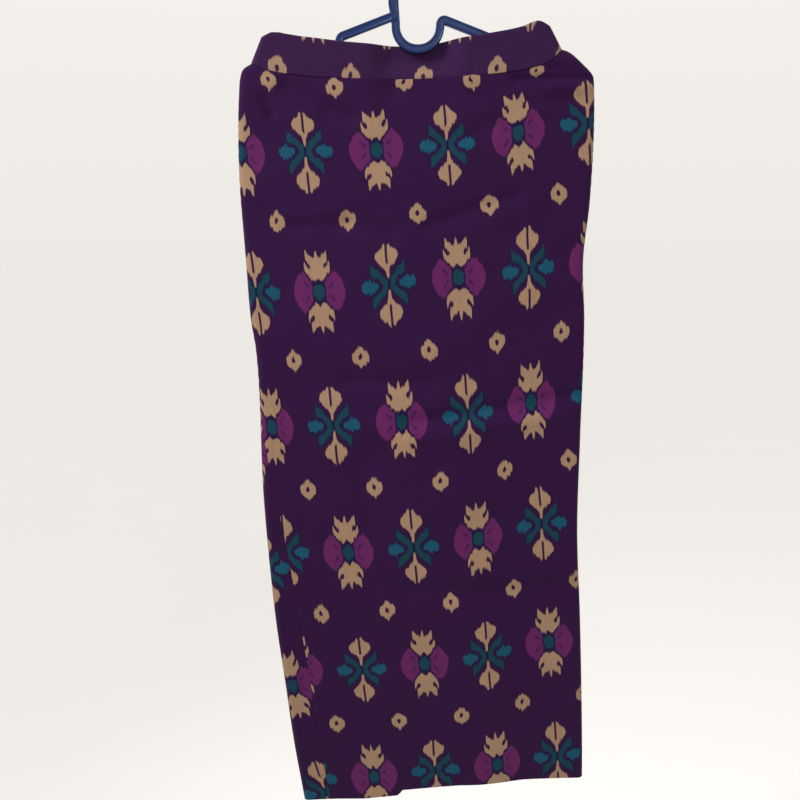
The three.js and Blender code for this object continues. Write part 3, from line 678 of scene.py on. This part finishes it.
def chart(tree, table, distance):
    """The height of a charted edge at a distance from the motif's middle line."""
    made = tree.nodes.new("ShaderNodeFloatCurve")
    curve = made.mapping.curves[0]
    spots = [(d / CHART_SPAN, (h + CHART_RISE) / (CHART_SPAN + CHART_RISE)) for d, h in table]
    curve.points[0].location = spots[0]
    curve.points[1].location = spots[-1]
    for spot in spots[1:-1]:
        curve.points.new(*spot)
    for point in curve.points:
        point.handle_type = "VECTOR"
    made.mapping.extend = "HORIZONTAL"
    made.mapping.update()
    tree.links.new(reckon(tree, "MULTIPLY", distance, 1 / CHART_SPAN), made.inputs["Value"])
    return reckon(tree, "MULTIPLY_ADD", made.outputs[0], CHART_SPAN + CHART_RISE, -CHART_RISE)


def below(tree, height, edge, soft):
    """1 where a height is under an edge and 0 over it, with a soft change between."""
    gap = reckon(tree, "SUBTRACT", edge, height)
    return reckon(tree, "MULTIPLY_ADD", gap, 1 / soft, 0.5, clamp=True)


def both(tree, *shares):
    """The share that lies within all of some shares."""
    made = shares[0]
    for share in shares[1:]:
        made = reckon(tree, "MULTIPLY", made, share)
    return made


def outside(tree, share):
    """What a share leaves over."""
    return reckon(tree, "SUBTRACT", 1.0, share, clamp=True)


def cell(tree, value, pitch, shift):
    """Which repeat a place lies in, and how far it is from that repeat's middle."""
    share = reckon(tree, "MULTIPLY_ADD", value, 1 / pitch, shift)
    number = reckon(tree, "ROUND", share)
    return number, reckon(tree, "MULTIPLY", reckon(tree, "SUBTRACT", share, number), pitch)


def between(tree, away, foot, top, aside):
    """1 between two charted edges of a motif."""
    return both(tree, below(tree, away, chart(tree, top, aside), EDGE_BLUR),
                outside(tree, below(tree, away, chart(tree, foot, aside), EDGE_BLUR)))


def oval(tree, sideways, upwards, size, blur):
    """1 inside an oval, by the distances from its middle."""
    wide = reckon(tree, "POWER", reckon(tree, "DIVIDE", sideways, size[0]), 2.0)
    tall = reckon(tree, "POWER", reckon(tree, "DIVIDE", upwards, size[1]), 2.0)
    return below(tree, reckon(tree, "ADD", wide, tall), 1.0, blur)


def slipped_warp(tree, cloth_uv, across, up):
    """Where a place was dyed: the tied bundles of warp slipped since, which feathers every edge."""
    feather = 0.0
    for bundle, slip in BUNDLES:
        number = reckon(tree, "FLOOR", reckon(tree, "DIVIDE", across, bundle))
        run = reckon(tree, "FLOOR", reckon(tree, "DIVIDE", up, BUNDLE_RUN))
        pair = tree.nodes.new("ShaderNodeCombineXYZ")
        tree.links.new(number, pair.inputs[0])
        tree.links.new(run, pair.inputs[1])
        chance = tree.nodes.new("ShaderNodeTexWhiteNoise")
        chance.noise_dimensions = "2D"
        tree.links.new(pair.outputs[0], chance.inputs["Vector"])
        feather = reckon(tree, "ADD", feather,
                         reckon(tree, "MULTIPLY_ADD", chance.outputs["Value"], slip, -slip / 2))
    drift = reckon(tree, "MULTIPLY_ADD", noise(tree, cloth_uv, 28, 1), 2.0, -1.0)
    return reckon(tree, "ADD", across, drift), reckon(tree, "ADD", up, feather)


def cross(tree, aside, away, undyed):
    """Split beige leaves, teal chevrons and brighter buds, as (share, dye) in the order they lie."""
    slit = both(tree, below(tree, aside, SLIT["half_width"], 0.7), below(tree, SLIT["above"], away, 3.0))
    leaf = both(tree, between(tree, away, LEAF_FOOT, LEAF_TOP, aside), outside(tree, slit))
    chevron = both(tree, between(tree, away, ARM_FOOT, ARM_TOP, aside),
                   below(tree, aside, ARM_REACH[1], 0.9), below(tree, ARM_REACH[0], aside, 0.8))
    rim_top = reckon(tree, "ADD", chart(tree, ARM_TOP, aside), ARM_RIM["width"])
    rim_foot = reckon(tree, "SUBTRACT", chart(tree, ARM_FOOT, aside), ARM_RIM["width"])
    chevron_rim = both(tree, below(tree, away, rim_top, EDGE_BLUR),
                       below(tree, rim_foot, away, EDGE_BLUR), below(tree, aside, ARM_RIM["to"], 0.9))
    bud_edge = chart(tree, BUD, aside)
    bud = both(tree, below(tree, away, bud_edge, EDGE_BLUR), below(tree, BUD_ROOT, aside, 0.9))
    rim_edge = reckon(tree, "ADD", bud_edge, BUD_RIM["width"])
    rim_from, rim_to = BUD_RIM["reach"]
    bud_rim = both(tree, below(tree, away, rim_edge, EDGE_BLUR), below(tree, rim_from, aside, 0.9),
                   below(tree, aside, rim_to, 0.9))
    return [(chevron_rim, NAVY), (bud_rim, NAVY), (chevron, TEAL), (bud, TEAL_BRIGHT), (leaf, undyed)]


def flower(tree, aside, away, undyed, streak):
    """Magenta wings with short dark dashes, beige crowns and a teal eye, as (share, dye) likewise."""
    dash_line = reckon(tree, "SUBTRACT", aside, DASH["line_from"])
    dash_gap = reckon(tree, "ABSOLUTE", reckon(tree, "SUBTRACT", away, dash_line))
    dash_from, dash_to = DASH["reach"]
    dash = both(tree, below(tree, dash_gap, DASH["half_width"], 2.0), below(tree, aside, dash_to, 1.4),
                below(tree, dash_from, aside, 1.4), DASH["share"])
    wing = both(tree, below(tree, away, chart(tree, WING, aside), EDGE_BLUR),
                below(tree, WING_ROOT, aside, 0.8), outside(tree, dash))
    # The wings' magenta turns to purple towards the eye.
    near_eye = reckon(tree, "MULTIPLY_ADD", aside, -0.022, 0.58, clamp=True)
    purple_share = reckon(tree, "MULTIPLY", near_eye, reckon(tree, "ADD", streak, 0.3))
    magenta = blend_colours(tree, purple_share, MAGENTA, PURPLE)
    crown = both(tree, between(tree, away, CROWN_FOOT, CROWN_TOP, aside),
                 outside(tree, between(tree, away, CUT_LOW, CUT_HIGH, aside)))
    eye_rim = oval(tree, aside, away, EYE_RIM, 0.3)
    eye = oval(tree, aside, away, EYE, 0.3)
    return [(wing, magenta), (crown, undyed), (eye_rim, NAVY), (eye, TEAL)]


def ring(tree, across, up, ring_scale):
    """The share of a small ring, half a step over and half a step up from the other motifs."""
    _, x = cell(tree, across, COLUMN_PITCH, 0.5)
    _, y = cell(tree, up, ROW_PITCH, 0.5)
    x = reckon(tree, "DIVIDE", x, ring_scale[0])
    y = reckon(tree, "DIVIDE", y, ring_scale[1])
    aside = reckon(tree, "ABSOLUTE", x)
    beside_hole = reckon(tree, "ABSOLUTE", reckon(tree, "ADD", x, RING_HOLE["left"]))
    above_hole = reckon(tree, "ABSOLUTE", reckon(tree, "SUBTRACT", y, RING_HOLE["above"]))
    hole = oval(tree, beside_hole, above_hole, RING_HOLE["size"], 0.5)
    return both(tree, below(tree, y, chart(tree, RING_TOP, aside), EDGE_BLUR),
                below(tree, chart(tree, RING_FOOT, aside), y, EDGE_BLUR), outside(tree, hole))


def ikat_print(tree, ring_scale, painted_sheen_share):
    """The dyed pattern's colour, from the cloth's own coordinates. Rings may be wider or taller, and a
    share of painted sheen may lighten it all.
    """
    uv = tree.nodes.new("ShaderNodeUVMap")
    uv.uv_map = "cloth"
    cloth_uv = uv.outputs["UV"]
    parts = tree.nodes.new("ShaderNodeSeparateXYZ")
    tree.links.new(cloth_uv, parts.inputs[0])
    across = reckon(tree, "MULTIPLY", parts.outputs[0], 1 / MILLIMETRE)
    up = reckon(tree, "MULTIPLY", parts.outputs[1], 1 / MILLIMETRE)
    across, up = slipped_warp(tree, cloth_uv, across, up)

    # Dyes take unevenly along the warp: long faint streaks in the ground and the beige.
    stretched = tree.nodes.new("ShaderNodeMapping")
    stretched.inputs["Scale"].default_value = (1.0, 0.06, 1.0)
    tree.links.new(cloth_uv, stretched.inputs["Vector"])
    streak = noise(tree, stretched.outputs["Vector"], 620, 2)
    mottle = noise(tree, cloth_uv, 42, 4)
    melange = noise(tree, cloth_uv, 480, 3)
    deepened = reckon(tree, "MULTIPLY_ADD", melange, 0.5, reckon(tree, "MULTIPLY", mottle, 0.5))
    lightened = reckon(tree, "MULTIPLY_ADD", streak, 0.6, reckon(tree, "MULTIPLY", melange, 0.4))
    undyed = blend_colours(tree, lightened, BEIGE, BEIGE_LIGHT)

    # Crosses and flowers take turns along each row and each column.
    column, x = cell(tree, across, COLUMN_PITCH, 0.0)
    row, y = cell(tree, up, ROW_PITCH, 0.0)
    parity = reckon(tree, "PINGPONG", reckon(tree, "ADD", column, row), 1.0)
    is_flower = reckon(tree, "GREATER_THAN", parity, 0.5)
    is_cross = outside(tree, is_flower)
    aside = reckon(tree, "ABSOLUTE", x)
    away = reckon(tree, "ABSOLUTE", y)
    crosses = cross(tree, aside, away, undyed)
    flowers = flower(tree, aside, away, undyed, streak)
    layers = [(both(tree, is_cross, share), dye) for share, dye in crosses]
    layers += [(both(tree, is_flower, share), dye) for share, dye in flowers]
    layers.append((ring(tree, across, up, ring_scale), undyed))
    dyed = blend_colours(tree, deepened, PLUM, PLUM_DEEP)
    for share, dye in layers:
        dyed = blend_colours(tree, share, dyed, dye)
    # Painted sheen: a share of a pale wash lightens the colour, standing in for light and sheen.
    return blend_colours(tree, painted_sheen_share, dyed, PAINTED_SHEEN_COLOUR), cloth_uv


WEAVE_THREAD = 0.00042  # spacing of the plain weave's threads, metres


def ikat_cotton(name, ring_scale, painted_sheen_share):
    """Matt plain-woven cotton with the tied and dyed print, a soft sheen and uneven threads."""
    cotton, tree, shader = material_named(name)
    dyed, cloth_uv = ikat_print(tree, ring_scale, painted_sheen_share)
    tree.links.new(dyed, shader.inputs["Base Color"])
    shader.inputs["Roughness"].default_value = 0.88
    shader.inputs["Specular IOR Level"].default_value = 0.1
    shader.inputs["Sheen Weight"].default_value = 0.04
    shader.inputs["Sheen Roughness"].default_value = 0.45
    uv_parts = tree.nodes.new("ShaderNodeSeparateXYZ")
    tree.links.new(cloth_uv, uv_parts.inputs[0])
    threads = [
        reckon(tree, "SINE", reckon(tree, "MULTIPLY", uv_parts.outputs[axis], 2 * math.pi / WEAVE_THREAD))
        for axis in (0, 1)
    ]
    weave = reckon(tree, "MULTIPLY", *threads)
    relief = reckon(tree, "MULTIPLY_ADD", weave, 0.35, noise(tree, cloth_uv, 700, 3))
    bump = tree.nodes.new("ShaderNodeBump")
    bump.inputs["Strength"].default_value = 0.35
    bump.inputs["Distance"].default_value = 0.00025
    tree.links.new(relief, bump.inputs["Height"])
    tree.links.new(bump.outputs["Normal"], shader.inputs["Normal"])
    return cotton


cotton = ikat_cotton("ikat_cotton", ring_scale=(1.0, 1.0), painted_sheen_share=0.0)
front_panel.data.materials.append(cotton)

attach(front_panel, "root")
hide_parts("front_panel")

# ---- Back panel ----
# The same printed cotton, a little wider at its top, where the elastic draws it up into puckers.
# Its side seams have slipped round, so its edge shows along the front's lower left.
GATHERS = 24
GATHER_DEPTH = 1.5
GATHER_RUN = 75.0
LOOP_BULGE = {"height": 2.4, "half_width": 26, "fall": 60}
BACK_CREASES = [
    (185, -172, 130, -215, 12, 2.6), (-190, -170, -120, -200, 11, 2.4),
    (-90, -300, 60, -335, 15, 2.4), (-180, -500, 40, -530, 15, 3.0),
    (-150, -790, 30, -802, 18, 2.4), (-40, -420, -10, -1050, 42, -3.0),
    (110, -380, 140, -1050, 32, 2.6),
]
# Its print hangs nearly upright, with a cross on the left fold about two thirds of the way down.
BACK_PRINT = {"first_cross": (-196.3, -769.7), "slope": 0.0, "bow": 0.0, "bow_middle": 0.0,
              "drawn_up": 0.0, "tucks": [], "slips": []}


def gather(share):
    """Puckers across the back, all puffed outwards and uneven in height."""
    turn = share * GATHERS
    uneven_height = 1 + 0.25 * np.sin(2.4 * np.round(turn))
    return GATHER_DEPTH * (1 + np.cos(2 * math.pi * turn)) * uneven_height


def loop_bulge(x, z):
    """How the strap loop's dent in the front eases the back out."""
    bulge = LOOP_BULGE
    sideways = ease((bulge["half_width"] + bulge["fall"] - np.abs(x)) / bulge["fall"])
    return bulge["height"] * sideways * ease((z - LOOP_DENT["end"]) / (SEAM_LEVEL - LOOP_DENT["end"]))


def back_lift(level, share, x, z, facing, is_front):
    """The puckers, which die out down the panel, and the bulge behind the strap loop."""
    puckers = gather(share) * ease(1 - (SEAM_LEVEL - level) / GATHER_RUN) * facing
    return np.where(is_front, 0.0, loop_bulge(x, z)) + puckers


back_panel = panel("back_panel_cloth", side="back", columns=146, creases_front=FRONT_CREASES,
                   creases_back=BACK_CREASES, extra_lift=back_lift, layout=BACK_PRINT)
back_panel.data.materials.append(cotton)

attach(back_panel, "root")
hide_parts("back_panel")

# ---- Waistband ----
# Two bands of the same cotton, each folded double: a flat one in front and one gathered over
# elastic behind. The front one slips behind the hanger's strap loop.
BAND_WALL = 2.5
BAND_LEFT = (-196.0, -183.0)  # at the seam and at the top
BAND_RIGHT = (171.0, 156.0)
BAND_FOLD, BAND_FRONT, BAND_BACK = 7.5, 8.0, 10.0
BAND_ROWS = [0, 0.012, 0.03, 0.06, 0.12, 0.22, 0.34, 0.46, 0.58, 0.7, 0.8, 0.88, 0.94, 0.98, 1.0]
BAND_RINGS = {"front": 20.8, "back": -20.0}  # where a ring stands across the band, mm
BAND_PITCH = 86.0  # the band isn't drawn in, so its rings stand further apart
BAND_RING_SCALE = (1.04, 1.04)  # and they are a little larger than the panels' rings
BAND_PAINTED_SHEEN = 0.035  # how much painted sheen lightens the waistband's cloth, for the light and sheen that fall on it
BAND_MOTIF_HEIGHT = 89.7  # from the seam up to the middle of the motifs that its fold cuts off
BAND_ROW_SCALE = 0.977  # its print stands that much longer up the band
BAND_SAG = [  # how far down the print slips, by the place across
    (-180, 0), (-125, 1), (-85, 2.8), (-35, 5), (9, 2.4), (50, 1.6), (100, 0), (140, 0), (165, 9),
]
BAND_END_SLIP = (118.0, 46.0, 7.0)  # towards its right end the print slips in: from, over, how far
TOP_BUMPS = [(-170, 4, 1.2), (-162, 5, 0.9), (148, 7, -0.8)]  # (place across, width, rise)
RUMPLE_HEIGHT = 0.22
RUMPLE_RISE = 12  # above the seam, where the stitching holds the cloth flat


def band_rumples(x, drop):
    """The uneven pull of the stitching and elastic: slanting soft waves that fade at the seam."""
    waves = np.sin(x / 5.2 + 0.11 * drop + 2 * np.sin(x / 33)) + 0.7 * np.sin(x / 12.5 - 0.07 * drop)
    return RUMPLE_HEIGHT * waves * ease(drop / RUMPLE_RISE)


def waistband(name, side, columns):
    """One band, from its waist seam up to its folded top edge."""
    outer, inner, cloth = [], [], []
    for up in np.array(BAND_ROWS)[::-1]:
        left = BAND_LEFT[0] + (BAND_LEFT[1] - BAND_LEFT[0]) * up
        right = BAND_RIGHT[0] + (BAND_RIGHT[1] - BAND_RIGHT[0]) * up
        outline = tube_outline(left, right, BAND_FOLD, BAND_FRONT, BAND_BACK)
        start, end = 0, outline["front_run"]
        if side == "back":
            start, end = end, outline["total"]
        s = closer_at_folds(start, end, columns, (0, outline["front_run"], outline["total"]))
        x, y, out_x, out_y, across = on_outline(outline, s)
        seam, top = along(WAIST, 1, across), along(WAIST, 2, across)
        height = seam + (top - seam) * up
        for bump_x, width, rise in TOP_BUMPS:
            height = height + rise * up ** 3 * np.exp(-((x - bump_x) / width) ** 2)
        facing = squareness(out_y)
        share = (s - start) / (end - start)
        if side == "front":
            lift = -loop_dent(x, height)
        else:
            lift = loop_bulge(x, height) + gather(share) * facing
        lift -= side_roll(s, start, end)
        drop = (top - seam) * up
        lift -= SEAM_ROLL * np.exp(-drop / SEAM_ROLL_RUN)
        lift += (seam_puckers(drop, x + 4) + band_rumples(x, drop)) * facing
        # The top edge is a fold, so the wall rounds over there.
        rounding = np.clip(1 - (1 - up) * (top - seam) / (BAND_WALL / 2), 0, 1)
        tuck = BAND_WALL / 2 * (1 - np.sqrt(1 - rounding ** 2 * 0.98))
        point = np.stack([x + out_x * (lift - tuck), y + out_y * (lift - tuck), height], -1)
        wall = (BAND_WALL - 2 * tuck)[:, None]
        outer.append(point)
        inner.append(point - np.stack([out_x, out_y, np.zeros_like(x)], -1) * wall)
        middle = (start + end) / 2
        flat_x = (s - middle) * (1 if side == "front" else -1)
        sag = np.interp(x, *zip(*BAND_SAG)) if side == "front" else 0.0
        slip_from, slip_over, slip = BAND_END_SLIP
        flat_x = flat_x + slip * ease((flat_x - slip_from) / slip_over)
        grain = np.stack([(flat_x - BAND_RINGS[side]) * COLUMN_PITCH / BAND_PITCH + COLUMN_PITCH / 2,
                          (drop + sag - BAND_MOTIF_HEIGHT) * BAND_ROW_SCALE], -1)
        cloth.append(grain)
    return shell(name, np.array(outer), np.array(inner), np.array(cloth))


# The waistband's copy of the cotton carries painted sheen, a pale wash that makes it lighter as light and
# sheen would.
band_cotton = ikat_cotton("ikat_cotton_band", BAND_RING_SCALE, BAND_PAINTED_SHEEN)
for side, columns, held in (("front", 220, "hung"), ("back", 300, "gathered")):
    band = waistband(f"{side}_waistband_cloth", side, columns)
    band.data.materials.append(band_cotton)
    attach(band, "root")
    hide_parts(f"waistband_{side}")

# ---- Floor and light ----
# A plain pale floor far under the hem, a pale surround that is a little brighter overhead, so that
# floor and surround meet without a line, and soft lamps that graze the cloth from the upper left.
FLOOR_LEVEL = -1.90
FLOOR_REACH = 60.0
FLOOR_PAINT = colour(238, 238, 238)
FLOOR_PAINT_WORN = colour(236, 236, 236)
SURROUND = colour(238, 234, 229)
OVERHEAD = 0.24  # how much brighter the surround is overhead than level with the floor

floor_mesh = bpy.data.meshes.new("floor")
corners = [(-FLOOR_REACH, -FLOOR_REACH), (FLOOR_REACH, -FLOOR_REACH), (FLOOR_REACH, FLOOR_REACH),
           (-FLOOR_REACH, FLOOR_REACH)]
floor_mesh.from_pydata([(x, y, FLOOR_LEVEL) for x, y in corners], [], [(0, 1, 2, 3)])
floor = placed("floor", floor_mesh)
floor_paint, tree, shader = material_named("floor_paint")
shader.inputs["Roughness"].default_value = 0.9
shader.inputs["Specular IOR Level"].default_value = 0.1
place = tree.nodes.new("ShaderNodeTexCoord").outputs["Object"]
paint = blend_colours(tree, noise(tree, place, 3, 3), FLOOR_PAINT, FLOOR_PAINT_WORN)
tree.links.new(paint, shader.inputs["Base Color"])
floor.data.materials.append(floor_paint)

world = bpy.data.worlds.new("studio")
world.use_nodes = True
sky_tree = world.node_tree
background = sky_tree.nodes["Background"]
background.inputs["Color"].default_value = SURROUND
direction = sky_tree.nodes.new("ShaderNodeSeparateXYZ")
sky_tree.links.new(sky_tree.nodes.new("ShaderNodeTexCoord").outputs["Generated"], direction.inputs[0])
overhead = reckon(sky_tree, "MAXIMUM", direction.outputs[2], 0.0)
sky_tree.links.new(reckon(sky_tree, "MULTIPLY_ADD", overhead, OVERHEAD, 1.0), background.inputs["Strength"])
bpy.context.scene.world = world

LAMPS = [  # (name, place, what it points at, size in metres, watts, spread in degrees)
    ("left_lamp", (-1.5, -0.75, 0.9), (0, 0, -0.45), 0.7, 8.5, 70),
    ("front_lamp", (0.5, -2.4, 0.5), (0, 0, -0.40), 1.2, 2.2, 60),
    ("back_lamp", (1.5, 1.4, 0.3), (0, 0, -0.55), 1.2, 6, 90),
]
for name, spot, target, size, watts, spread in LAMPS:
    lamp_data = bpy.data.lights.new(name, "AREA")
    lamp_data.size = size
    lamp_data.energy = watts
    lamp_data.spread = math.radians(spread)
    lamp = placed(name, lamp_data)
    lamp.location = spot
    lamp.rotation_euler = (Vector(target) - Vector(spot)).to_track_quat("-Z", "Y").to_euler()
